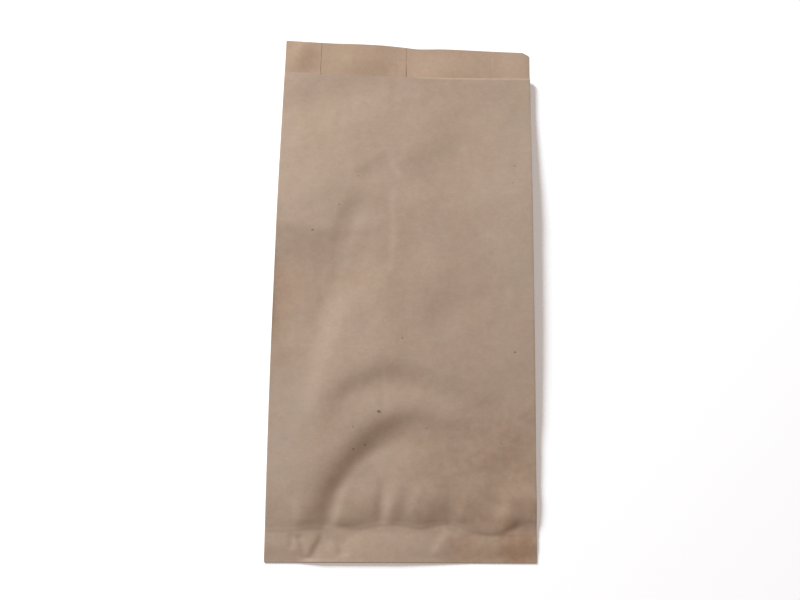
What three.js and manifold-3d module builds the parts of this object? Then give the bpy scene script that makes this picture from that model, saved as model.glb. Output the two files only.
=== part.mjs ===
// Gusseted paper bag, empty, lying on its back. Millimetres.
// X runs across the face, Y from the folded bottom to the mouth, Z up from the table.
import * as THREE from "three";
import { mergeVertices } from "three/addons/utils/BufferGeometryUtils.js";
import Module from "manifold-3d";

const { lerp, smoothstep, degToRad } = THREE.MathUtils;

// The folded sheet
const faceWidth = 240;
const bagLength = 488;
const paper = 0.1;
const leftGussetDepth = 34.6;
const rightGussetDepth = 36.6;
const leftSideBow = 2;

// The mouth: the front and the front gusset halves are cut short of the back
const leftLip = 34;
const rightLip = 29;
const frontEdgeDip = 2.2;
const cornerClip = 3.4;

// The back seam: the left ply lies inside and over the right one
const seamEdge = -2.6;
const seamLap = 12.4;
const seamStep = 1.2;

// The bottom: the front ply turns under the back and is glued to it as a flap
const flapLength = 26;
const flapTaper = 3;
const flapStep = 2.4;
const flapStart = 0.4;
const bottomFold = 1.2;
const glueBite = 0.02;
const pressedPlies = 5;

// Clear gaps between neighbouring plies, pressed at the bottom and free above it
const pressedGap = 0.05;
const lowerFoldGap = 0.7;
const gussetGap = 1.1;
const upperFoldGap = 1.5;
const backGussetRise = 0.9;
const frontGussetRise = 0.7;
const mouthCloseness = 0.45;

// How fast the plies part above the flap, and where they draw together again towards the mouth
const partingLength = 58;
const mouthDrawLength = 120;
const mouthFlatLength = 46;

// The front panel's puffed form: its height over the plies below, and the share of it lost at each side fold
const crown = 2.6;
const mouthCrown = 2.4;
const crownLength = 32;
const crownPower = 2.6;
const crownFall = { right: 0.2, left: 0.8 };
const sunkFront = 1.3;
const sunkMargin = 34;

// Dents in the front, each an ellipse whose inside lies lower
const arcDent = { x: 15, y: 35, across: 94, along: 86, band: 14, depth: 0.6, fadeFrom: -14, fadeTo: 60 };
const outerDent = { x: 0, y: 80, across: 88, along: 88, band: 14, depth: 0.25 };
const cornerSlope = { fromX: 30, fromY: 170, toX: 112, toY: 40, depth: 0.5 };
const sideDent = { x: -120, y: 262, across: 66, along: 42, band: 12, depth: 0.3 };

// Mesh steps
const columnStep = 9;
const backStep = 40;
const denseStep = 8;
const denseLength = 184;
const openStep = 25;
const foldSegments = 2;
const mitreLimit = 0.5;
const weldDistance = 1e-4;

// How far the cutting shapes reach past the paper
const cutSpare = 24;
const clipSpare = 1.3;

const half = faceWidth / 2;
const meetings = { right: half - rightGussetDepth, left: half - leftGussetDepth };
const sides = { right: 1, left: -1 };

// How far the side folds lie from the centre line; the left one bows outward
function sideReach(side, y) {
  const bow = side === "left" ? leftSideBow * Math.sin((Math.PI * y) / bagLength) : 0;
  return half + bow;
}

// 0 where the plies are pressed together at the bottom, 1 where they lie free
function parting(y) {
  const bottom = 1 - Math.exp(-Math.max(y - flapLength, 0) / partingLength);
  const flatFrom = bagLength - mouthFlatLength;
  const mouth = smoothstep(y, flatFrom - mouthDrawLength, flatFrom);
  return bottom * lerp(1, mouthCloseness, mouth);
}

// Heights of the middle of each ply at the folds of one cross-section
function plyHeights(y) {
  const apart = parting(y);
  const gap = (free) => paper + lerp(pressedGap, free, apart);
  const overFlap = 1 - smoothstep(y, flapLength, flapLength + flapStep);
  const back = paper * (0.5 + overFlap);
  const lowerGap = gap(lowerFoldGap);
  const innerGap = gap(gussetGap);
  const upperGap = gap(upperFoldGap);
  const gussetBack = back + lowerGap + backGussetRise * apart;
  const gussetFront = gussetBack + innerGap + frontGussetRise * apart;
  return { back, lowerGap, innerGap, gussetBack, gussetFront, edge: gussetFront + upperGap };
}

// How far a point lies inside a dent: 1 well inside, 0 outside its band
function insideDent(dent, x, y) {
  const radius = Math.hypot((x - dent.x) / dent.across, (y - dent.y) / dent.along);
  const mean = (dent.across + dent.along) / 2;
  return 1 - smoothstep((radius - 1) * mean, -dent.band, dent.band);
}

// The share of the front's height that its dents leave
function dentedShare(x, y) {
  const arcFade = 1 - smoothstep(x, arcDent.fadeFrom, arcDent.fadeTo);
  const corner = smoothstep(x, cornerSlope.fromX, cornerSlope.toX)
    * (1 - smoothstep(y, cornerSlope.toY, cornerSlope.fromY));
  return (1 - arcDent.depth * arcFade * insideDent(arcDent, x, y))
    * (1 - outerDent.depth * insideDent(outerDent, x, y))
    * (1 - sideDent.depth * insideDent(sideDent, x, y))
    * (1 - cornerSlope.depth * corner);
}

// Height of the front panel's middle surface
function frontHeight(x, y, heights) {
  const side = x < 0 ? "left" : "right";
  const across = Math.min(Math.abs(x) / sideReach(side, y), 1);
  const nearMouth = smoothstep(y, bagLength / 2, bagLength - mouthFlatLength);
  const puffed = 1 - Math.exp(-Math.max(y - flapLength, 0) / crownLength);
  const rise = lerp(crown, mouthCrown, nearMouth) * puffed;
  const full = heights.edge + rise * (1 - crownFall[side] * Math.pow(across, crownPower));

  const foldCover = smoothstep(Math.abs(x), meetings[side] - sunkMargin, meetings[side]);
  const sunk = Math.min(heights.back + paper + pressedGap + sunkFront * parting(y), heights.edge);
  const low = lerp(sunk, heights.edge, foldCover);
  return low + (full - low) * dentedShare(x, y);
}

// Points of a fold seen end on, turning from one ply to the next above it
function foldArc(x, low, gap, outward) {
  const radius = gap / 2;
  const points = [];
  for (let i = 0; i <= foldSegments; i += 1) {
    const angle = degToRad(lerp(-90, 90, i / foldSegments));
    const reach = outward * (Math.cos(angle) * radius - radius);
    points.push(new THREE.Vector2(x + reach, low + radius + Math.sin(angle) * radius));
  }
  return points;
}

// The plies of one side, from the back panel round the gusset to the front panel
function sidePlies(side, y, heights) {
  const reach = sideReach(side, y);
  const inner = meetings[side] + reach - half;
  const frontGap = frontHeight(sides[side] * reach, y, heights) - heights.gussetFront;
  const line = [
    ...foldArc(reach, heights.back, heights.lowerGap, 1),
    ...foldArc(inner, heights.gussetBack, heights.innerGap, -1),
    ...foldArc(reach, heights.gussetFront, frontGap, 1),
  ];
  return line.map((point) => new THREE.Vector2(point.x * sides[side], point.y));
}

// Evenly spaced values strictly between two ends
function between(from, to, step) {
  const count = Math.max(1, Math.round(Math.abs(to - from) / step));
  return Array.from({ length: count - 1 }, (_, i) => lerp(from, to, (i + 1) / count));
}

// Outer and inner outline of a line of points, half the paper to each side
function thicken(line) {
  return line.slice(1, -1).map((point, i) => {
    const into = point.clone().sub(line[i]).normalize();
    const out = line[i + 2].clone().sub(point).normalize();
    const along = into.add(out).normalize();
    const stretch = 1 / Math.max(Math.abs(along.dot(out)), mitreLimit);
    const offset = new THREE.Vector2(along.y, -along.x).multiplyScalar((paper / 2) * stretch);
    return { outer: point.clone().add(offset), inner: point.clone().sub(offset) };
  });
}

// One closed cross-section, counter-clockwise from the seam along the back
function crossSection(y) {
  const heights = plyHeights(y);
  const { back } = heights;
  const flat = (x) => new THREE.Vector2(x, back);
  const pair = (x, outer, innerX, inner) => ({
    outer: new THREE.Vector2(x, back + outer * paper),
    inner: new THREE.Vector2(innerX, back + inner * paper),
  });
  const lapStart = seamEdge - seamLap;
  const seam = [
    pair(lapStart - seamStep, -0.5, lapStart - seamStep, 0.5),
    pair(lapStart - paper, 0.5, lapStart - paper, 1.5),
    pair(lapStart, 0.5, lapStart + paper, 1.5),
    pair(lapStart, -0.5, lapStart + 2 * paper, 1.5),
    pair(seamEdge, -0.5, seamEdge, 1.5),
    pair(seamEdge + paper, -0.5, seamEdge, 0.5),
  ];

  const right = sidePlies("right", y, heights);
  const left = sidePlies("left", y, heights).reverse();
  const frontFrom = right.at(-1).x;
  const frontTo = left[0].x;
  const columns = between(half - upperFoldGap, upperFoldGap - half, columnStep);
  const front = columns.map((x) => {
    const at = lerp(frontFrom, frontTo, (half - x) / faceWidth);
    return new THREE.Vector2(at, frontHeight(at, y, heights));
  });
  const line = [
    flat(seamEdge + paper),
    ...between(seamEdge, half, backStep).map(flat),
    ...right,
    ...front,
    ...left,
    ...between(-half, lapStart, backStep).map(flat),
    flat(lapStart - seamStep),
  ];
  return [...seam, ...thicken(line)];
}

// Stations along the bag: close together over the dents, further apart above them
function stations() {
  const start = bottomFold / 2;
  const dense = between(flapLength + flapStep, denseLength, denseStep);
  return [
    start,
    flapLength,
    flapLength + flapStep,
    ...dense,
    denseLength,
    ...between(denseLength, bagLength, openStep),
    bagLength,
  ];
}

// Closed geometry of a thin-walled tube from its cross-sections
function tubeGeometry(levels) {
  const rings = levels.map(crossSection);
  const count = rings[0].length;
  const positions = [];
  rings.forEach((ring, i) => {
    for (const skin of ["outer", "inner"]) {
      for (const pair of ring) positions.push(pair[skin].x, levels[i], pair[skin].y);
    }
  });
  const index = [];
  const quad = (a, b, c, d) => index.push(a, b, c, a, c, d);
  const at = (level, skin, k) => (level * 2 + skin) * count + (k % count);
  const last = rings.length - 1;
  for (let k = 0; k < count; k += 1) {
    for (let i = 0; i < last; i += 1) {
      quad(at(i, 0, k), at(i + 1, 0, k), at(i + 1, 0, k + 1), at(i, 0, k + 1));
      quad(at(i, 1, k), at(i, 1, k + 1), at(i + 1, 1, k + 1), at(i + 1, 1, k));
    }
    quad(at(0, 0, k), at(0, 0, k + 1), at(0, 1, k + 1), at(0, 1, k));
    quad(at(last, 0, k), at(last, 1, k), at(last, 1, k + 1), at(last, 0, k + 1));
  }
  const geometry = new THREE.BufferGeometry();
  geometry.setAttribute("position", new THREE.Float32BufferAttribute(positions, 3));
  geometry.setIndex(index);
  return geometry;
}

// The front's cut, everything of the front above this line is away
function frontCut(cutHeight) {
  const past = half + cutSpare;
  const edgeAt = (x) => bagLength - lerp(leftLip, rightLip, (x + half) / faceWidth);
  const shape = new THREE.Shape();
  shape.moveTo(-past, edgeAt(-past));
  shape.lineTo(-half, edgeAt(-half));
  shape.quadraticCurveTo(0, edgeAt(0) - 2 * frontEdgeDip, half, edgeAt(half));
  shape.lineTo(past, edgeAt(past));
  shape.lineTo(past, bagLength + cutSpare);
  shape.lineTo(-past, bagLength + cutSpare);
  const settings = { depth: cutSpare, bevelEnabled: false, curveSegments: 8 };
  const geometry = new THREE.ExtrudeGeometry(shape, settings);
  return geometry.translate(0, 0, cutHeight);
}

// The small piece that is missing from the lip's right corner
function clipCut() {
  const shape = new THREE.Shape();
  shape.moveTo(half - cornerClip - clipSpare, bagLength + clipSpare);
  shape.lineTo(half + clipSpare, bagLength - cornerClip - clipSpare);
  shape.lineTo(half + cornerClip, bagLength + cornerClip);
  const geometry = new THREE.ExtrudeGeometry(shape, { depth: cutSpare, bevelEnabled: false });
  return geometry.translate(0, 0, -cutSpare / 2);
}

// The pressed bottom fold, where every ply meets in one rounded edge
function bottomEdge() {
  const stack = paper * pressedPlies + pressedGap * (pressedPlies - 2);
  const bend = stack / 2;
  const profile = new THREE.Shape();
  profile.moveTo(-bottomFold, 0);
  profile.lineTo(-bend, 0);
  profile.absarc(-bend, bend, bend, degToRad(-90), degToRad(90), false);
  profile.lineTo(-bottomFold, stack);
  const geometry = new THREE.ExtrudeGeometry(profile, {
    depth: faceWidth,
    bevelEnabled: false,
    curveSegments: foldSegments * 2,
  });
  geometry.rotateX(degToRad(90));
  geometry.rotateZ(degToRad(-90));
  return geometry.translate(half, 0, 0);
}

// The glued flap under the back, a little narrower at its free edge
function bottomFlap() {
  const shape = new THREE.Shape();
  shape.moveTo(paper - half, flapStart);
  shape.lineTo(half - paper, flapStart);
  shape.lineTo(half - flapTaper, flapLength);
  shape.lineTo(flapTaper - half, flapLength);
  return new THREE.ExtrudeGeometry(shape, { depth: paper + glueBite, bevelEnabled: false });
}

const wasm = await Module();
wasm.setup();

function toSolid(geometry) {
  const bare = geometry.clone();
  bare.deleteAttribute("normal");
  bare.deleteAttribute("uv");
  const merged = mergeVertices(bare, weldDistance);
  return new wasm.Manifold(new wasm.Mesh({
    numProp: 3,
    vertProperties: new Float32Array(merged.attributes.position.array),
    triVerts: new Uint32Array(merged.index.array),
  }));
}

function toGeometry(solid) {
  const mesh = solid.getMesh();
  const geometry = new THREE.BufferGeometry();
  geometry.setAttribute("position", new THREE.BufferAttribute(mesh.vertProperties, 3));
  geometry.setIndex(new THREE.BufferAttribute(mesh.triVerts, 1));
  geometry.computeVertexNormals();
  return geometry;
}

function bagGeometry() {
  const atMouth = plyHeights(bagLength);
  const cutHeight = atMouth.gussetBack + atMouth.innerGap / 2;
  const sheet = toSolid(tubeGeometry(stations()))
    .subtract(toSolid(frontCut(cutHeight)))
    .subtract(toSolid(clipCut()))
    .add(toSolid(bottomEdge()))
    .add(toSolid(bottomFlap()));
  return toGeometry(sheet);
}

const kraft = new THREE.MeshStandardMaterial({ color: 0xb39c89, roughness: 0.85, metalness: 0 });
const bagMesh = new THREE.Mesh(bagGeometry(), kraft);
bagMesh.name = "paper_bag";
bagMesh.position.set(leftSideBow / 2, -bagLength / 2, 0);

const bag = new THREE.Group();
bag.add(bagMesh);

export default bag;
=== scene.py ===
import math

import bpy
import numpy as np
from mathutils import Matrix, Vector


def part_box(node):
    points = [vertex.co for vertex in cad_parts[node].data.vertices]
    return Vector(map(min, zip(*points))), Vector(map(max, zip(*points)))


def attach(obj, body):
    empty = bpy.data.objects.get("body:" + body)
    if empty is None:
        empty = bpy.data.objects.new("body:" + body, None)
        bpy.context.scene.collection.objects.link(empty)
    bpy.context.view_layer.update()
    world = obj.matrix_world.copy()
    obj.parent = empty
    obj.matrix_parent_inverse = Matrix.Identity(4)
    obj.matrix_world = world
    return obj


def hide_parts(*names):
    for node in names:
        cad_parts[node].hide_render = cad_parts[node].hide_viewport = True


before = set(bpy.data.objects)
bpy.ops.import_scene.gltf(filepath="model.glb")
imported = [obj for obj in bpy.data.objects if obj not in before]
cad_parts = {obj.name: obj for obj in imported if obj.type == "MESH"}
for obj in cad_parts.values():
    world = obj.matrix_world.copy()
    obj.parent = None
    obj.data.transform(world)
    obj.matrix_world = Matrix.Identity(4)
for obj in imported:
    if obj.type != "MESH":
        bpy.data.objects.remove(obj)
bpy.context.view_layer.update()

mm = 0.001
tiny = 1e-6

# The folded sheet, in millimetres. Its length comes from the frame.
bag = {
    "faceWidth": 240,
    "paper": 0.1,
    "leftGusset": 34.6,
    "rightGusset": 36.6,
    "leftBow": 2.0,
    "leftLip": 34.0,
    "rightLip": 29.0,
    "lipDip": 2.2,
    "seamEdge": -2.6,
    "seamLap": 12.4,
    "seamStep": 1.4,
    "seamLift": 0.2,
    "lipPress": 0.7,
    "mouthDip": {"depth": 1.6, "at": 10, "spread": 16},
    "glueGap": 0.02,
    "flapLength": 26.0,
    "flapTaper": 3.0,
    "flapClear": 1.2,
    "flapStep": 2.4,
    "cornerClip": 3.4,
    "edgeTurn": 0.2,
    "pressedGap": 0.05,
    "lowerFoldGap": 0.7,
    "gussetGap": 1.1,
    "upperFoldGap": 1.5,
    "backGussetRise": 0.9,
    "frontGussetRise": 0.7,
    "foldDepth": 0.25,
    "bendDepth": 0.5,
    "mouthCloseness": 0.45,
    "hem": 25.5,
    "partingLength": 58.0,
    "crownLength": 38.0,
    "mouthDraw": 120.0,
    "mouthFlat": 46.0,
    "crown": 2.6,
    "mouthCrown": 2.4,
    "crownPower": 2.6,
    "crownFall": {"left": 0.8, "right": 0.2},
    "coverMargin": 34.0,
}

low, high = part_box("paper_bag")
bagLength = (high[1] - low[1]) / mm
half = bag["faceWidth"] / 2
centreX = (low[0] + high[0]) / 2 / mm + bag["leftBow"] / 2
paper = bag["paper"]
meeting = {1: half - bag["rightGusset"], -1: half - bag["leftGusset"]}


def smooth(value, start, end):
    t = np.clip((np.asarray(value, float) - start) / (end - start), 0, 1)
    return t * t * (3 - 2 * t)


def lerp(a, b, t):
    return a + (b - a) * t


# Where the side folds and the plies between them lie, at each height up the bag
def sideReach(side, y):
    bow = bag["leftBow"] * np.sin(math.pi * y / bagLength) if side < 0 else 0 * y
    return half + bow


def plyHeights(y):
    flatFrom = bagLength - bag["mouthFlat"]
    parted = 1 - np.exp(-np.clip(y - bag["hem"], 0, None) / bag["partingLength"])
    parted = parted * lerp(1, bag["mouthCloseness"], smooth(y, flatFrom - bag["mouthDraw"], flatFrom))
    stepFrom = bag["flapLength"] + bag["flapClear"]
    overFlap = 1 - smooth(y, stepFrom, stepFrom + bag["flapStep"])
    gap = {name: paper + lerp(bag["pressedGap"], bag[name], parted)
           for name in ("lowerFoldGap", "gussetGap", "upperFoldGap")}
    back = paper / 2 + (paper + bag["glueGap"]) * overFlap
    gussetBack = back + gap["lowerFoldGap"] + bag["backGussetRise"] * parted
    gussetFront = gussetBack + gap["gussetGap"] + bag["frontGussetRise"] * parted
    return {"back": back, "gussetBack": gussetBack, "gussetFront": gussetFront, "parted": parted,
            "edge": gussetFront + gap["upperFoldGap"], **gap}


# The relief. Places are millimetres from the centre line and up from the bottom fold, and paths run upwards.
# A step is high on the left of its path, a ridge stands along it (a valley where its height is below zero),
# and a brink falls away on the right of it and comes back within its reach.
creases = [
    # the large arc over the bottom left, and the one outside it
    {"form": "step", "path": [(-69, 10), (-68, 38), (-65, 56), (-56, 75), (-43, 92), (-26, 105), (-6, 112.5),
                              (16, 115), (60, 115)],
     "height": 2.7, "width": 14, "reach": 30, "drop": 0.6, "rise": (-12, 76), "end": (-44, 44)},
    {"form": "step", "path": [(-50, 100), (-28, 117), (-6, 125), (14, 126), (34, 121), (70, 104)],
     "height": 0.9, "width": 10, "reach": 22, "fade": (0.35, 0.3)},
    {"form": "ridge", "path": [(-57, 20), (-56, 46), (-49, 61), (-40, 75), (-28, 86), (-5, 95)],
     "height": 0.6, "width": 6, "right": 16, "rise": (24, 34), "end": (-40, 4)},
    {"form": "step", "path": [(-70, 112), (-66, 128), (-55, 147), (-38, 160), (-20, 167), (-4, 168),
                              (12, 164), (30, 157), (50, 147), (84, 128)],
     "height": 1.35, "width": 12, "reach": 25, "rise": (116, 158), "end": (20, 90)},
    # the left side
    {"form": "step", "path": [(-88, 80), (-82, 150), (-74, 190), (-66, 225), (-62, 290)],
     "height": -0.8, "width": 10, "reach": 26, "rise": (105, 150), "fall": (222, 250)},
    {"form": "brink", "path": [(-140, 303), (-112, 301.5), (-96, 300.5), (-76, 298), (-20, 299)],
     "height": 5.4, "reach": 52, "soft": 1, "rise": (120, 262), "end": (-68, -14)},
    {"form": "brink", "path": [(-71, 274), (-70, 296), (-64, 314), (-56, 331), (-49, 346)],
     "height": 1.2, "reach": 11, "soft": 1.8, "fade": (0.35, 0.3)},
    {"form": "brink", "path": [(-122.5, 180), (-122.5, 290)],
     "height": 1.2, "reach": 9, "soft": 2, "fade": (0.3, 0.4)},
    {"form": "ridge", "path": [(-54, 266), (-50, 280), (-44, 296), (-37, 314)],
     "height": 0.25, "width": 5, "right": 9},
    # the diagonals over the middle
    {"form": "brink", "path": [(-54, 350), (-44, 361), (-30, 372), (-18, 379)],
     "height": 1.1, "reach": 13, "soft": 2, "fade": (0.25, 0.15)},
    {"form": "brink", "path": [(-15, 358), (-4, 371), (10, 382), (30, 392), (58, 403), (74, 412)],
     "height": 2.0, "reach": 30, "soft": 3, "fade": (0.2, 0.35)},
    {"form": "ridge", "path": [(-125, 418), (-80, 428), (-40, 444), (10, 462)],
     "height": -0.9, "width": 20, "right": 20},
    # the glued seam showing through
    {"form": "ridge", "path": [(-17.5, 256), (-17, 300), (-17, 352)],
     "height": -0.34, "width": 10, "right": 4, "fade": (0.12, 0.12)},
    {"form": "ridge", "path": [(-15, 400), (-14, 450)], "height": -0.15, "width": 5, "right": 5},
    {"form": "ridge", "path": [(-17, 116), (-20, 148), (-23, 174)],
     "height": -0.2, "width": 3, "right": 2.5},
    {"form": "step", "path": [(8, 205), (26, 226), (46, 239), (88, 250)],
     "height": 0.6, "width": 13, "reach": 36},
    # pleats standing up from the bottom crease
    {"form": "ridge", "path": [(-89, 28), (-90, 44), (-91, 62)], "height": 0.4, "width": 5, "right": 12,
     "fade": (0.3, 0.4)},
    {"form": "ridge", "path": [(-56, 26), (-54, 44), (-44, 76)], "height": 1.15, "width": 6, "right": 15,
     "fade": (0.3, 0.5)},
    {"form": "ridge", "path": [(-40, 27), (-38, 42), (-32, 70)], "height": 0.45, "width": 5, "right": 12,
     "fade": (0.5, 0.5)},
    {"form": "ridge", "path": [(-20, 29), (-19.5, 50), (-18, 78)], "height": -0.6, "width": 4, "right": 5,
     "fade": (0.25, 0.4)},
    {"form": "ridge", "path": [(-11, 28), (-9, 46), (-3, 74)], "height": 0.8, "width": 6, "right": 9,
     "fade": (0.4, 0.5)},
    {"form": "ridge", "path": [(9, 27), (11, 44), (20, 76)], "height": 1.0, "width": 9, "right": 25,
     "fade": (0.4, 0.45)},
    {"form": "ridge", "path": [(22, 30), (24, 46), (32, 84)], "height": 0.35, "width": 7, "right": 12,
     "fade": (0.5, 0.5)},
    {"form": "ridge", "path": [(52, 32), (54, 46), (60, 66)], "height": 0.6, "width": 5, "right": 10,
     "fade": (0.3, 0.5)},
    {"form": "step", "path": [(56, 31), (66, 27), (76, 25), (86, 26), (96, 30), (108, 36)],
     "height": 0.35, "width": 2.5, "reach": 9, "fade": (0.2, 0.2)},
    {"form": "ridge", "path": [(96, 29), (97, 46), (104, 76)], "height": 1.4, "width": 10, "right": 30,
     "fade": (0.3, 0.5)},
    # the pressed bottom
    {"form": "ridge", "path": [(-97, 10), (-97, 26)], "height": -0.4, "width": 2.5, "right": 3},
    {"form": "ridge", "path": [(-84, 1), (-87, 12), (-92, 25)], "height": -0.5, "width": 2.6, "right": 3,
     "fade": (0.05, 0.2)},
    {"form": "ridge", "path": [(-82, 1), (-75, 13), (-68, 26)], "height": -0.7, "width": 2.6, "right": 8,
     "fade": (0.05, 0.2)},
    {"form": "ridge", "path": [(-53, 4), (-56, 24)],
     "height": -0.5, "width": 3, "right": 7, "fade": (0.2, 0.2)},
    {"form": "ridge", "path": [(28, 5), (34, 15), (42, 28)], "height": 0.4, "width": 4, "right": 10,
     "fade": (0.2, 0.1)},
]
swells = [
    {"at": (-104, 340), "spread": (52, 46), "height": 1.4},
    {"at": (-135, 230), "spread": (36, 62), "height": 2.8},
    {"at": (-52, 205), "spread": (40, 60), "height": 0.6},
    {"at": (125, 45), "spread": (84, 100), "height": -2.8},
    {"at": (150, 330), "spread": (56, 120), "height": 1.2},
]

# How high the crease over the glued flap runs, how far the paper rolls up below it and how far it puffs
# above it, each from left to right
hemLine = [(-120, 25.5), (-100, 25.5), (-80, 28), (-60, 27), (-45, 26.5), (-35, 28), (-20, 31), (-8, 32),
           (2, 31), (12, 28.5), (20, 28.5), (30, 32), (42, 33), (52, 30), (62, 25.5), (75, 23.5), (90, 23),
           (105, 23.5), (120, 24)]
hemRoll = [(-92, 0.2), (-72, 1.5), (-5, 1.5), (26, 0.9), (60, 0)]
hemPuff = [(-120, 0.9), (-92, 0.9), (-68, 0.35), (0, 0.3), (20, 0.5), (60, 0.5), (85, 0.8), (120, 0.9)]

frontForm = {
    "fade": (0.3, 0.3),
    "brinkTail": 3,
    "hemBlend": (30, 90),
    "puffRise": (0, 17),
    "puffFall": (30, 120),
    "reliefRise": (0.5, 4),
    "uneven": {"seed": 4, "waves": 40, "shortest": 14, "longest": 60},
    "unevenHeight": 0.08,
    "unevenGain": 3,
    "unevenLeast": 0.2,
    "leastGap": 0.05,
    "kneeLeast": 0.2,
    "kneeGain": 0.5,
    "coverPast": 2,
}


def smoothPath(points, perSpan=12):
    p = np.array([points[0], *points, points[-1]], float)
    t = np.linspace(0, 1, perSpan, endpoint=False)[:, None]
    spans = [b + ((c - a) * t + (2 * a - 5 * b + 4 * c - d) * t**2 + (3 * b - a - 3 * c + d) * t**3) / 2
             for a, b, c, d in zip(p, p[1:], p[2:], p[3:])]
    return np.vstack([*spans, p[-1:]])


# Signed distance to a path, positive on its left, and how far along it the nearest point is
def pathDistance(x, y, points):
    path = smoothPath(points)
    start, run = path[:-1], np.diff(path, axis=0)
    length = np.hypot(*run.T)
    before = np.concatenate([[0], np.cumsum(length)[:-1]])
    dx, dy = x[..., None] - start[:, 0], y[..., None] - start[:, 1]
    t = np.clip((dx * run[:, 0] + dy * run[:, 1]) / length**2, 0, 1)
    offX, offY = dx - t * run[:, 0], dy - t * run[:, 1]
    distance = np.hypot(offX, offY)
    nearest = distance.argmin(-1)[..., None]

    def pick(values):
        return np.take_along_axis(values, nearest, -1)[..., 0]

    side = np.sign(pick(run[:, 0] * dy - run[:, 1] * dx))
    along = pick(before + t * length) / length.sum()
    return pick(distance) * np.where(side == 0, 1, side), along


def creaseHeight(x, y, crease):
    distance, along = pathDistance(x, y, crease["path"])
    if "rise" in crease:
        taper = smooth(y, *crease["rise"])
        if "fall" in crease:
            taper = taper * (1 - smooth(y, *crease["fall"]))
    else:
        start, end = crease.get("fade", frontForm["fade"])
        taper = smooth(along, 0, start + tiny) * smooth(1 - along, 0, end + tiny)
    if "end" in crease:
        taper = taper * (1 - smooth(x, *crease["end"]))
    if crease["form"] == "step":
        shape = np.tanh(distance / crease["width"]) - crease.get("drop", 0)
        shape = shape * np.exp(-(distance / crease["reach"]) ** 2)
    elif crease["form"] == "ridge":
        width = np.where(distance > 0, crease["width"], crease["right"])
        shape = np.exp(-(distance / width) ** 2)
    else:
        past = (np.hypot(distance, crease["soft"]) - distance) / 2 / crease["reach"]
        shape = -np.tanh(past) * np.exp(-(past / frontForm["brinkTail"]) ** 2)
    return crease["height"] * taper * shape


def swellHeight(x, y, swell):
    across = (x - swell["at"][0]) / swell["spread"][0]
    along = (y - swell["at"][1]) / swell["spread"][1]
    return swell["height"] * np.exp(-(across**2) - along**2)


def unevenness(x, y, seed, waves, shortest, longest):
    rng = np.random.default_rng(seed)
    total = 0 * x
    for _ in range(waves):
        angle, phase = rng.uniform(0, 2 * math.pi, 2)
        length = math.exp(rng.uniform(math.log(shortest), math.log(longest)))
        swing = np.sin(2 * math.pi * (x * math.cos(angle) + y * math.sin(angle)) / length + phase)
        total = total + swing * length
    return total / (waves**0.5 * (shortest * longest) ** 0.5)


# The front's height over the table, kept clear of the plies under it
def frontHeight(x, y):
    rise = np.interp(x, *zip(*hemLine)) - bag["hem"]
    h = plyHeights(y - rise * (1 - smooth(y, *frontForm["hemBlend"])))
    inner = np.where(x < 0, meeting[-1], meeting[1])
    across = np.minimum(np.abs(x) / half, 1)
    fall = np.where(x < 0, bag["crownFall"]["left"], bag["crownFall"]["right"])
    nearMouth = smooth(y, bagLength / 2, bagLength - bag["mouthFlat"])
    aboveHem = np.clip(y - rise - bag["hem"], 0, None)
    crown = lerp(bag["crown"], bag["mouthCrown"], nearMouth) * (1 - np.exp(-aboveHem / bag["crownLength"]))
    z = h["edge"] + crown * (1 - fall * across ** bag["crownPower"])
    puffed = smooth(y, *frontForm["puffRise"]) * (1 - smooth(y, *frontForm["puffFall"]))
    z = z + np.interp(x, *zip(*hemPuff)) * puffed
    z = z + np.interp(x, *zip(*hemRoll)) * np.clip(1 - y / bag["hem"], 0, 1)
    relief = sum(creaseHeight(x, y, crease) for crease in creases)
    relief = relief + sum(swellHeight(x, y, swell) for swell in swells) * h["parted"]
    loose = np.minimum(h["parted"] * frontForm["unevenGain"] + frontForm["unevenLeast"], 1)
    relief = relief + frontForm["unevenHeight"] * unevenness(x, y, **frontForm["uneven"]) * loose
    z = z + relief * smooth(y, *frontForm["reliefRise"])
    cover = smooth(np.abs(x) - inner, -bag["coverMargin"], frontForm["coverPast"])
    clear = paper + frontForm["leastGap"] + lerp(h["back"], h["gussetFront"], cover)
    knee = frontForm["kneeLeast"] + frontForm["kneeGain"] * h["parted"]
    eased = clear + knee * np.exp((np.minimum(z, clear + knee) - clear) / knee - 1)
    return np.where(z > clear + knee, z, eased)


# The lip: the back panel beyond the front's cut, and the folded gusset that lies on it
lipForm = {
    "left": {"height": 1.2, "rise": (-78, -46), "fall": (-29, -10), "up": (450, 473)},
    "right": {"height": 1.5, "rise": (0, 16), "fall": (28, 82), "up": (425, 456), "down": (450, 488)},
    "gusset": {"rise": (-120, -106), "fall": (-102, -86), "up": (450, 464)},
    "crease": {"form": "ridge", "path": [(-126, 456), (-113, 470), (-101, 486)], "height": 0.85, "width": 5,
               "right": 15, "fade": (0, 0)},
    "pressFrom": 2,
    "pressUp": (436, 462),
    "seamWidth": 9,
    "seamUp": (380, 440),
    "seamDown": (460, 474),
    "turnAcross": (2, 16),
}


def hump(value, form):
    return smooth(value, *form["rise"]) * (1 - smooth(value, *form["fall"]))


def lipLift(x, y):
    left, right = lipForm["left"], lipForm["right"]
    leftLift = left["height"] * hump(x, left) * smooth(y, *left["up"])
    rightLift = right["height"] * hump(x, right) * smooth(y, *right["up"])
    return leftLift + rightLift * (1 - smooth(y, *right["down"]))


def gussetLift(x, y):
    form = lipForm["gusset"]
    return creaseHeight(x, y, lipForm["crease"]) * smooth(y, *form["up"]) * hump(x, form)


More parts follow.
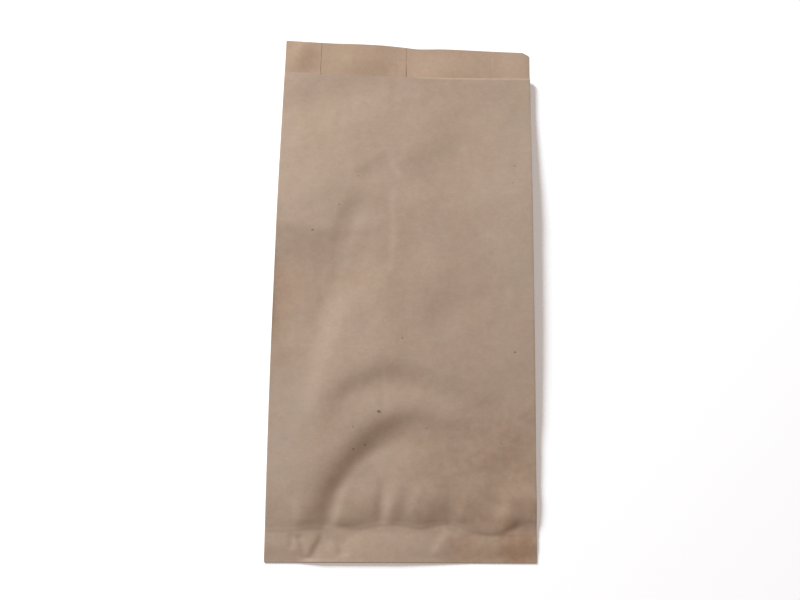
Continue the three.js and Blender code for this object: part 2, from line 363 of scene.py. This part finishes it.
# The sheet laid out as a grid: rows up the bag, columns round it from seam to seam
grid = {
    "frontStep": 2.1,
    "edgeStep": 0.35,
    "backStep": 11,
    "leftBackPoints": 12,
    "lapPoints": 6,
    "gussetStep": 6,
    "foldPoints": 5,
    "bendPoints": 7,
    "bendReach": 0.43,
    "flapRows": 7,
    "flapNear": 1.2,
    "hemRows": (0.7, 36, 1.3),
    "pleatRows": (37, 190, 1.9),
    "panelRows": 107,
    "panelEnd": 2.2,
    "lastRow": 0.6,
    "lipRows": 15,
    "lowestRow": 0.3,
    "leanRows": 60,
    "easeTimes": 2,
    "easeAbove": 36,
    "easeBelowLip": 3,
    "backBelly": 0.15,
    "frontBelly": -0.1,
    "bendEdge": 0.05,
    "sharpAngle": 40,
}


def rowPlaces():
    flap = -np.linspace(bag["flapLength"], grid["flapNear"], grid["flapRows"])
    bend = np.linspace(-grid["bendReach"], grid["bendReach"], grid["bendPoints"])
    hem = np.arange(*grid["hemRows"])
    pleats = np.arange(*grid["pleatRows"])
    lipRow = bagLength - (bag["leftLip"] + bag["rightLip"]) / 2
    panel = np.linspace(grid["pleatRows"][1], lipRow - grid["panelEnd"], grid["panelRows"])
    panel = np.append(panel, lipRow - grid["lastRow"])
    lip = np.linspace(lipRow, bagLength, grid["lipRows"])
    return np.concatenate([flap, bend, hem, pleats, panel, lip]), len(flap) + len(bend), lipRow


# Even steps from 0 to 1, with a narrow one next to the fold at each end
def foldedSteps(width, step):
    nearFold = grid["edgeStep"] / width
    between = np.linspace(0, 1, round(width / step) + 1)[1:-1]
    return np.concatenate([[nearFold], between, [1 - nearFold]])[None, :]


def foldArc(reach, lowest, gap, outward):
    angle = np.linspace(-math.pi / 2, math.pi / 2, grid["foldPoints"])[None, :]
    radius = gap / 2
    depth = np.minimum(radius, bag["foldDepth"])
    return reach + outward * (np.cos(angle) - 1) * depth, lowest + radius + np.sin(angle) * radius


def gussetHalf(fromX, fromZ, toX, toZ, belly):
    t = foldedSteps(bag["leftGusset"], grid["gussetStep"])
    return lerp(fromX, toX, t), lerp(fromZ, toZ, t) + belly * np.sin(math.pi * t)


# The strips of one side, from the back panel to the front
def sideStrips(sign, y, h):
    reach = sideReach(sign, y)
    inner = meeting[sign] + reach - half
    edgeGap = frontHeight(sign * reach, y) - h["gussetFront"]
    backBelly, frontBelly = grid["backBelly"] * h["parted"], grid["frontBelly"] * h["parted"]
    backTop, innerTop = h["back"] + h["lowerFoldGap"], h["gussetBack"] + h["gussetGap"]
    strips = [
        ("back", *foldArc(reach, h["back"], h["lowerFoldGap"], 1)),
        ("gussetBack", *gussetHalf(reach, backTop, inner, h["gussetBack"], backBelly)),
        ("inner", *foldArc(inner, h["gussetBack"], h["gussetGap"], -1)),
        ("gussetFront", *gussetHalf(inner, innerTop, reach, h["gussetFront"], frontBelly)),
        ("gussetFront", *foldArc(reach, h["gussetFront"], edgeGap, 1)),
    ]
    return [(name, sign * x, z) for name, x, z in strips]


def sheetColumns(y, h):
    lapStart = bag["seamEdge"] - bag["seamLap"]
    lap = np.linspace(lapStart, bag["seamEdge"], grid["lapPoints"])[None, :]
    rightBack = np.linspace(bag["seamEdge"], half, round(half / grid["backStep"]) + 1)[None, 1:-1]
    rightBack = np.hstack([lap, rightBack])
    leftBack = np.linspace(-half, lapStart - bag["seamStep"], grid["leftBackPoints"])[None, 1:]
    t = foldedSteps(bag["faceWidth"], grid["frontStep"])
    front = lerp(sideReach(1, y), -sideReach(-1, y), t)
    strips = [("back", rightBack, h["back"]), *sideStrips(1, y, h), ("front", front, h["edge"])]
    strips += [(name, x[:, ::-1], z[:, ::-1]) for name, x, z in reversed(sideStrips(-1, y, h))]
    strips += [("back", leftBack, h["back"]), ("lap", lap, h["back"] + paper + bag["glueGap"])]
    wide = [(name, x + 0 * (y + z), z + 0 * (x + y)) for name, x, z in strips]
    part = np.concatenate([[name] * x.shape[1] for name, x, _ in wide])
    return part, np.hstack([x for _, x, _ in wide]), np.hstack([z for _, _, z in wide])


# The cut of the front runs a little askew, so the rows below it lean with it
def leanFront(x, y, rows, lipRow, short):
    edge = bagLength - lerp(bag["leftLip"], bag["rightLip"], (x + half) / (2 * half))
    edge = edge - bag["lipDip"] * np.clip(1 - (x / half) ** 2, 0, 1)
    lean = (edge - lipRow) * smooth(rows[:, None], lipRow - grid["leanRows"], lipRow)
    return np.where(short[None, :], y + lean, y)


def easeFront(y, z, rows, lipRow, isFront):
    inFront = (isFront[1:-1] & isFront[:-2] & isFront[2:])[None, :]
    belowLip = rows[1:-1, None] < lipRow - grid["easeBelowLip"]
    inside = inFront & belowLip & (y[1:-1, 1:-1] > grid["easeAbove"])
    for _ in range(grid["easeTimes"]):
        eased = (z[1:-1, 1:-1] * 4 + z[:-2, 1:-1] + z[2:, 1:-1] + z[1:-1, :-2] + z[1:-1, 2:]) / 8
        z[1:-1, 1:-1] = np.where(inside, eased, z[1:-1, 1:-1])
    return z


# The lip is a little uneven and its edge dips, its right corner is clipped, and the seam's edge stands up
def shapeLip(x, y, z, lipRow, part, short):
    onBack = np.isin(part, ["back", "lap"])[None, :]
    z = z + np.where(onBack, lipLift(x, y), 0)
    onGusset = np.isin(part, ["gussetBack", "inner"])[None, :]
    inward = smooth(half - np.abs(x), lipForm["pressFrom"], bag["leftGusset"])
    press = bag["lipPress"] * inward * smooth(y, *lipForm["pressUp"])
    z = z + np.where(onGusset, np.where(x < 0, gussetLift(x, y), 0) - press, 0)
    free = smooth(x, bag["seamEdge"] - lipForm["seamWidth"], bag["seamEdge"])
    free = free * (1 - smooth(y, *lipForm["seamDown"])) * smooth(y, *lipForm["seamUp"])
    z = z + np.where((part == "lap")[None, :], bag["seamLift"] * free, 0)
    dip = bag["mouthDip"]
    clipped = bagLength - np.clip(x - half + bag["cornerClip"], 0, None)
    clipped = clipped - dip["depth"] * np.exp(-(((x - dip["at"]) / dip["spread"]) ** 2))
    inLip = (~short)[None, :] & (y > lipRow)
    y = np.where(inLip, lipRow + (y - lipRow) * (clipped - lipRow) / (bagLength - lipRow), y)
    return y, z


# Below the bottom edge the front ply turns under and lies flat as the flap
def turnFlap(x, y, z, rows, firstRow):
    flapZ = paper / 2
    radius = (z[firstRow] - flapZ) / 2
    bendRow = (np.abs(rows) <= grid["bendReach"])[:, None]
    turn = np.clip(rows / grid["bendReach"], -1, 1)[:, None] * math.pi / 2
    z = np.where(bendRow, flapZ + radius + radius * np.sin(turn), z)
    bend = grid["bendEdge"] + np.minimum(radius, bag["bendDepth"]) * (1 - np.cos(turn))
    y = np.where(bendRow, bend, y)
    isFlap = (rows < -grid["bendReach"])[:, None]
    taper = bag["flapTaper"] / half * np.clip(-rows[:, None], 0, None) / bag["flapLength"]
    x = np.where(isFlap, x * (1 - taper), x)
    y = np.where(isFlap, -rows[:, None], y)
    return x, y, np.where(isFlap, flapZ, z)


# Which cells of the grid hold paper: the front and its gusset plies end at the lip, and only the front
# turns under
def keptCells(rows, firstRow, lipRow, part, short):
    isFront = part == "front"
    rowMid = (rows[:-1] + rows[1:]) / 2
    below = (rowMid < rows[firstRow])[:, None]
    beyond = (rowMid > lipRow)[:, None]
    upperPly = short.copy()
    rightFold, leftFold = np.split(np.flatnonzero(part == "inner"), 2)
    upperPly[rightFold[1:]] = True
    upperPly[leftFold[:-1]] = True
    keep = np.where(below, (isFront[:-1] & isFront[1:])[None, :], True)
    return keep & ~((upperPly[:-1] | upperPly[1:])[None, :] & beyond)


def buildSheet():
    rows, firstRow, lipRow = rowPlaces()
    y = np.clip(rows, grid["lowestRow"], None)[:, None]
    part, x, z = sheetColumns(y, plyHeights(y))
    isFront = part == "front"
    short = isFront | (part == "gussetFront")
    y = leanFront(x, y + 0 * x, rows, lipRow, short)
    z = np.where(isFront[None, :], frontHeight(x, y), z)
    turned = bag["edgeTurn"] * smooth(x, *lipForm["turnAcross"]) * (rows == lipRow)[:, None]
    z = z - np.where(isFront[None, :], turned, 0)
    z = easeFront(y, z, rows, lipRow, isFront)
    y, z = shapeLip(x, y, z, lipRow, part, short)
    x, y, z = turnFlap(x, y, z, rows, firstRow)
    keep = keptCells(rows, firstRow, lipRow, part, short)
    folded = np.isin(part, ["gussetBack", "inner", "gussetFront"])
    sheltered = ((folded[:-1] | folded[1:]) & ~(isFront[:-1] | isFront[1:]))[None, :] & keep
    return x, y, z, keep, sheltered


# Paper on both sides of the grid, closed along its rims. The slots are outside, inside and cut edge.
def thickenSheet(name, x, y, z, keep, sheltered):
    points = np.stack([x, y, z], -1)
    across = np.gradient(points, axis=1)
    along = np.gradient(points, axis=0)
    normal = np.cross(along, across)
    normal /= np.maximum(np.linalg.norm(normal, axis=-1, keepdims=True), tiny)
    sides = [(points + normal * side * paper / 2).reshape(-1, 3) for side in (1, -1)]
    index = np.arange(x.size).reshape(x.shape)
    quads = np.stack([index[:-1, :-1], index[1:, :-1], index[1:, 1:], index[:-1, 1:]], -1)[keep]
    edges = np.vstack([quads[:, [i, (i + 1) % 4]] for i in range(4)])
    _, first, count = np.unique(np.sort(edges, axis=1), axis=0, return_index=True, return_counts=True)
    start, end = edges[first[count == 1]].T
    rims = np.stack([end, start, start + x.size, end + x.size], -1)
    faces = np.vstack([quads, quads[:, ::-1] + x.size, rims])
    used, packed = np.unique(faces, return_inverse=True)
    vertices = (np.vstack(sides)[used] + [centreX, -bagLength / 2, 0]) * mm
    mesh = bpy.data.meshes.new(name)
    mesh.from_pydata(vertices.tolist(), [], packed.reshape(-1, 4).tolist())
    outer = np.where(sheltered[keep], 1, 0)
    slots = np.concatenate([outer, np.repeat([1, 2], [len(quads), len(rims)])])
    mesh.polygons.foreach_set("material_index", slots)
    mesh.polygons.foreach_set("use_smooth", np.ones(len(faces), bool))
    mesh.set_sharp_from_angle(angle=math.radians(grid["sharpAngle"]))
    mesh.update()
    piece = bpy.data.objects.new(name, mesh)
    bpy.context.scene.collection.objects.link(piece)
    return piece


paperBag = thickenSheet("paperBag", *buildSheet())
print("sheet built:", len(paperBag.data.polygons), "faces")


# Shader maths as plain expressions
class Wire:
    def __init__(self, graph, socket):
        self.graph, self.socket = graph, socket

    def maths(self, operation, first, second):
        return self.graph.add("ShaderNodeMath", {"operation": operation}, {0: first, 1: second})

    def __add__(self, other):
        return self.maths("ADD", self, other)

    def __radd__(self, other):
        return self.maths("ADD", other, self)

    def __sub__(self, other):
        return self.maths("SUBTRACT", self, other)

    def __rsub__(self, other):
        return self.maths("SUBTRACT", other, self)

    def __mul__(self, other):
        return self.maths("MULTIPLY", self, other)

    def __rmul__(self, other):
        return self.maths("MULTIPLY", other, self)

    def __truediv__(self, other):
        return self.maths("DIVIDE", self, other)

    def __rtruediv__(self, other):
        return self.maths("DIVIDE", other, self)

    def __pow__(self, other):
        return self.maths("POWER", self, other)

    def __rpow__(self, other):
        return self.maths("POWER", other, self)


class Graph:
    def __init__(self, name):
        self.material = bpy.data.materials.new(name)
        self.material.use_nodes = True
        self.tree = self.material.node_tree
        self.shader = self.tree.nodes["Principled BSDF"]

    def add(self, kind, settings=None, sockets=None, out=0):
        node = self.tree.nodes.new(kind)
        for key, value in (settings or {}).items():
            setattr(node, key, value)
        for key, value in (sockets or {}).items():
            self.feed(node.inputs[key], value)
        return Wire(self, node.outputs[out])

    def feed(self, socket, value):
        if isinstance(value, Wire):
            self.tree.links.new(value.socket, socket)
        else:
            socket.default_value = value

    def blend(self, factor, first, second, mode="MIX"):
        return self.add("ShaderNodeMix", {"data_type": "RGBA", "blend_type": mode},
                        {0: factor, 6: first, 7: second}, out=2)

    def ramp(self, value, start, end, low=0.0, high=1.0):
        return self.add("ShaderNodeMapRange", {"interpolation_type": "SMOOTHSTEP"},
                        {"Value": value, "From Min": start, "From Max": end, "To Min": low, "To Max": high})

    def vector(self, operation, sockets):
        return self.add("ShaderNodeVectorMath", {"operation": operation}, sockets)

    def stretch(self, places, turn, scale):
        return self.add("ShaderNodeMapping", None,
                        {"Vector": places, "Rotation": (0, 0, math.radians(turn)), "Scale": scale})

    def noise(self, places, scale, detail, roughness, out=0):
        return self.add("ShaderNodeTexNoise", None,
                        {"Vector": places, "Scale": scale, "Detail": detail, "Roughness": roughness}, out=out)


def fromHex(text):
    channels = [int(text[i:i + 2], 16) / 255 for i in (0, 2, 4)]
    return (*[c / 12.92 if c <= 0.04045 else ((c + 0.055) / 1.055) ** 2.4 for c in channels], 1)


# The kraft. Each noise is a scale per millimetre, a detail and a roughness. A fleck is its place and size,
# and a spot of painted shade, partly a glue stain low on the right, is its place, its spread and how much it
# darkens; below zero it lightens, as painted light.
kraft = {
    "outside": "b49c87",
    "inside": "b69a82",
    "cutEdge": "c3ae98",
    "fleck": "6a5443",
    "roughness": 0.86,
    "specular": 0.25,
    "cloud": {"noise": (0.03, 3, 0.5), "amount": 0.12},
    "patch": {"noise": (0.14, 3, 0.55), "amount": 0.18},
    "grain": {"noise": (0.35, 4, 0.6), "amount": 0.18},
    "fibre": {"noise": (1.0, 4, 0.65), "amount": 0.34, "stretch": (0.16, 1.6, 1),
              "strands": [(8, 0.0), (63, 17.0), (118, 41.0)]},
    "hues": [{"noise": (0.021, 3, 0.6), "amount": 0.05}, {"noise": (0.12, 3, 0.6), "amount": 0.085}],
    "blotch": {"at": (95, 70), "spread": (90, 100), "amount": 0.1, "broad": 0.34,
               "noise": (0.075, 2, 0.5), "turn": 35, "stretch": (0.6, 1, 1)},
    "tint": {"red": 0.8, "blue": 1.2, "shadeAndStainWarmth": 0.28},
    "spot": {"ragged": 0.6, "full": 0.25, "gone": 1.15},
    "specks": {"scale": 0.11, "least": 0.8, "size": 0.22, "soft": 0.02, "strength": 0.75},
    "fleckForm": {"ragged": 3, "squash": 0.75, "full": 0.4, "gone": 1.1, "paleBelow": 2, "strongest": 0.85},
    "bump": {"strength": 0.5, "depth": 0.05, "fibre": 0.6, "grain": 0.4},
    "flecks": [(-23, 131, 1.7), (-88, 297, 1.1), (-64, 322, 1.0), (-46, 117, 0.8), (-45, 97.5, 1.1),
               (-35, 101, 1.1), (20, 117, 0.8), (88, 104, 0.9), (103, 367, 1.0), (101, 350, 0.7),
               (101, 187, 1.1), (-3, 198, 0.8), (-36, 186, 0.8), (-47, 351, 0.8), (-72, 458, 0.7)],
    # Painted shade and painted light: the darkening low on the right is painted shade and partly a damp glue
    # stain, the other darkening spots are painted shade, and the spots below zero, outside and on the lip
    # inside, are painted light.
    "shadeAndStains": {
        "outside": [(95, 56, 80, 82, 0.07), (104, 13, 24, 18, 0.21), (60, 12, 26, 14, 0.08),
                    (20, 105, 34, 22, 0.05), (-124, 225, 22, 60, 0.06), (-96, 246, 46, 24, 0.04),
                    (-104, 60, 30, 64, -0.05), (-112, 120, 40, 50, -0.07), (-104, 12, 26, 15, -0.04),
                    (122, 300, 70, 210, -0.05), (-48, 255, 26, 14, 0.04), (-86, 322, 60, 40, -0.04)],
        "inside": [(-102, 472, 24, 24, 0.02), (40, 482, 66, 26, -0.04), (106, 474, 22, 26, -0.08)],
        "cutEdge": [],
    },
}


def fromMiddle(texture):
    return texture - 0.5


# A soft spot with an uneven edge, from 1 at its middle to 0
def spotMask(g, acrossBag, upBag, patch, atX, atY, spreadX, spreadY):
    form = kraft["spot"]
    overX = (acrossBag - (atX + centreX)) / spreadX
    overY = (upBag - (atY - bagLength / 2)) / spreadY
    distance = (overX * overX + overY * overY) ** 0.5 + fromMiddle(patch) * form["ragged"]
    return 1 - g.ramp(distance, form["full"], form["gone"])


def fibreNoise(g, places):
    form = kraft["fibre"]
    fibres = 0
    for turn, offset in form["strands"]:
        strands = g.stretch(places, turn, form["stretch"])
        fibres = g.noise(g.vector("ADD", {0: strands, 1: (offset, offset, 0)}), *form["noise"]) + fibres
    return fibres / len(form["strands"])


# Small dark specks all over, thinly strewn
def addSpecks(g, base, places):
    form = kraft["specks"]
    sockets = {"Vector": places, "Scale": form["scale"], "Randomness": 1.0}
    cells = g.add("ShaderNodeTexVoronoi", {"feature": "F1"}, sockets)
    chance = g.add("ShaderNodeTexVoronoi", {"feature": "F1"}, sockets, out=1)
    pick = g.add("ShaderNodeSeparateColor", None, {0: chance})
    size = (pick - form["least"]) * form["size"]
    mask = g.ramp(cells - size, -form["soft"], form["soft"], form["strength"], 0.0)
    return g.blend(mask, base, fromHex(kraft["fleck"]))


# The larger flecks, one by one
def addFlecks(g, base, acrossBag, upBag, grain):
    form = kraft["fleckForm"]
    wobble = fromMiddle(grain) * form["ragged"]
    for atX, atY, size in kraft["flecks"]:
        overX = acrossBag - (atX + centreX)
        overY = upBag - (atY - bagLength / 2)
        distance = (overX * overX * form["squash"] + overY * overY) ** 0.5 + wobble
        strength = min(size / form["paleBelow"], form["strongest"])
        spot = g.ramp(distance, size * form["full"], size * form["gone"], strength, 0.0)
        base = g.blend(spot, base, fromHex(kraft["fleck"]))
    return base


def kraftPaper(name, colour):
    g = Graph(name)
    metres = g.add("ShaderNodeTexCoord", out=3)
    places = g.vector("SCALE", {0: metres, "Scale": 1 / mm})
    acrossBag = g.add("ShaderNodeSeparateXYZ", None, {0: places}, out=0)
    upBag = g.add("ShaderNodeSeparateXYZ", None, {0: places}, out=1)
    textures = {texture: g.noise(places, *kraft[texture]["noise"])
                for texture in ("cloud", "patch", "grain")}
    patch, grain = textures["patch"], textures["grain"]
    fibres = fibreNoise(g, places)
    textures["fibre"] = fibres
    shade = 1
    for texture, noise in textures.items():
        shade = fromMiddle(noise) * kraft[texture]["amount"] + shade
    if colour == "outside":
        blotch = kraft["blotch"]
        inBlotch = spotMask(g, acrossBag, upBag, patch, *blotch["at"], *blotch["spread"])
        broad = g.noise(g.stretch(places, blotch["turn"], blotch["stretch"]), *blotch["noise"])
        uneven = fromMiddle(patch) * blotch["amount"] + fromMiddle(broad) * blotch["broad"]
        shade = shade + inBlotch * uneven
    # the painted shade and painted light of the spots, with the glue stain, multiply the paper's tone
    shadedAndStained = 1
    for atX, atY, spreadX, spreadY, share in kraft["shadeAndStains"][colour]:
        shadedAndStained = (1 - spotMask(g, acrossBag, upBag, patch, atX, atY, spreadX, spreadY) * share) * shadedAndStained
    shade = shade * shadedAndStained

    # darker paper is redder, and the painted shade and stain spots warmer still (the painted light cooler)
    tint = kraft["tint"]
    shadeAndStainWarmth = shadedAndStained ** tint["shadeAndStainWarmth"]
    red = shade ** tint["red"] / shadeAndStainWarmth
    blue = shade ** tint["blue"] * shadeAndStainWarmth
    tinted = g.add("ShaderNodeCombineColor", None, {0: red, 1: shade, 2: blue})
    base = g.blend(1.0, fromHex(kraft[colour]), tinted, "MULTIPLY")
    for form in kraft["hues"]:
        gain = form["amount"]
        hue = g.noise(places, *form["noise"], out=1)
        cast = g.vector("MULTIPLY_ADD", {0: hue, 1: (gain,) * 3, 2: (1 - gain / 2,) * 3})
        base = g.blend(1.0, base, cast, "MULTIPLY")
    base = addSpecks(g, base, places)
    if colour == "outside":
        base = addFlecks(g, base, acrossBag, upBag, grain)
    g.feed(g.shader.inputs["Base Color"], base)
    g.feed(g.shader.inputs["Roughness"], kraft["roughness"])
    g.feed(g.shader.inputs["Specular IOR Level"], kraft["specular"])
    form = kraft["bump"]
    height = fibres * form["fibre"] + grain * form["grain"]
    bump = g.add("ShaderNodeBump", None,
                 {"Strength": form["strength"], "Distance": form["depth"] * mm, "Height": height})
    g.feed(g.shader.inputs["Normal"], bump)
    return g.material


for name, colour in (("kraftOutside", "outside"), ("kraftInside", "inside"), ("kraftEdge", "cutEdge")):
    paperBag.data.materials.append(kraftPaper(name, colour))
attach(paperBag, "root")
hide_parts("paper_bag")
print("paper finished")


# Floor and light
studio = {
    "floorSize": 8,
    "floorShade": 0.86,
    "floorRoughness": 0.9,
    "floorGlow": 0.35,
    "keyPlace": (-2.95, 2.95, 1.69),
    "keySize": 1.5,
    "keyWatts": 419,
    "keyColour": (0.915, 1.014, 1.09),
    "fill": 0.17,
    "fillColour": (1.0, 0.54, 0.31),
}
white = (1, 1, 1, 1)


# The floor glows a little for the camera alone, so that it shows white and keeps the bag's shadow
def buildStage():
    g = Graph("floorWhite")
    g.feed(g.shader.inputs["Base Color"], (*[studio["floorShade"]] * 3, 1))
    g.feed(g.shader.inputs["Roughness"], studio["floorRoughness"])
    plain = Wire(g, g.shader.outputs[0])
    glow = g.add("ShaderNodeEmission", None, {"Color": white, "Strength": studio["floorGlow"]})
    lit = g.add("ShaderNodeAddShader", None, {0: plain, 1: glow})
    seen = g.add("ShaderNodeLightPath")
    mixed = g.add("ShaderNodeMixShader", None, {0: seen, 1: plain, 2: lit})
    g.feed(g.tree.nodes["Material Output"].inputs["Surface"], mixed)
    side = studio["floorSize"] / 2
    corners = [(-side, -side, 0), (side, -side, 0), (side, side, 0), (-side, side, 0)]
    mesh = bpy.data.meshes.new("floor")
    mesh.from_pydata(corners, [], [(0, 1, 2, 3)])
    mesh.materials.append(g.material)
    floor = bpy.data.objects.new("floor", mesh)
    bpy.context.scene.collection.objects.link(floor)


def buildLight():
    lamp = bpy.data.lights.new("key", "AREA")
    lamp.shape = "DISK"
    lamp.size = studio["keySize"]
    lamp.energy = studio["keyWatts"]
    lamp.color = studio["keyColour"]
    key = bpy.data.objects.new("key", lamp)
    key.location = studio["keyPlace"]
    key.rotation_mode = "QUATERNION"
    key.rotation_quaternion = (-Vector(studio["keyPlace"])).to_track_quat("-Z", "Y")
    bpy.context.scene.collection.objects.link(key)


# A dim warm sky, which the camera sees as white beyond the floor
def buildSky():
    world = bpy.data.worlds.new("studio")
    world.use_nodes = True
    nodes, links = world.node_tree.nodes, world.node_tree.links
    sky = nodes["Background"]
    sky.inputs["Color"].default_value = (*studio["fillColour"], 1)
    sky.inputs["Strength"].default_value = studio["fill"]
    backdrop = nodes.new("ShaderNodeBackground")
    backdrop.inputs["Color"].default_value = white
    seen = nodes.new("ShaderNodeLightPath")
    mixed = nodes.new("ShaderNodeMixShader")
    links.new(seen.outputs["Is Camera Ray"], mixed.inputs[0])
    links.new(sky.outputs[0], mixed.inputs[1])
    links.new(backdrop.outputs[0], mixed.inputs[2])
    links.new(mixed.outputs[0], nodes["World Output"].inputs["Surface"])
    bpy.context.scene.world = world


# The camera stands over the bag's lower half and a little to its left
view = {
    "place": (-0.0588, -0.1426, 0.7230),
    "right": (0.99685, 0.01447, 0.07796),
    "up": (-0.02824, 0.98353, 0.17854),
    "lens": 35.69,
    "sensor": 36,
    "nearest": 0.01,
    "farthest": 50,
}


def buildCamera():
    data = bpy.data.cameras.new("camera")
    data.sensor_width = view["sensor"]
    data.lens = view["lens"]
    data.clip_start = view["nearest"]
    data.clip_end = view["farthest"]
    camera = bpy.data.objects.new("camera", data)
    right, up = Vector(view["right"]), Vector(view["up"])
    back = right.cross(up)
    turn = Matrix((right, up, back)).transposed()
    camera.matrix_world = Matrix.Translation(view["place"]) @ turn.to_4x4()
    bpy.context.scene.collection.objects.link(camera)
    bpy.context.scene.camera = camera


buildStage()
buildLight()
buildSky()
buildCamera()
bpy.context.scene.view_settings.view_transform = "Standard"
print("stage ready")
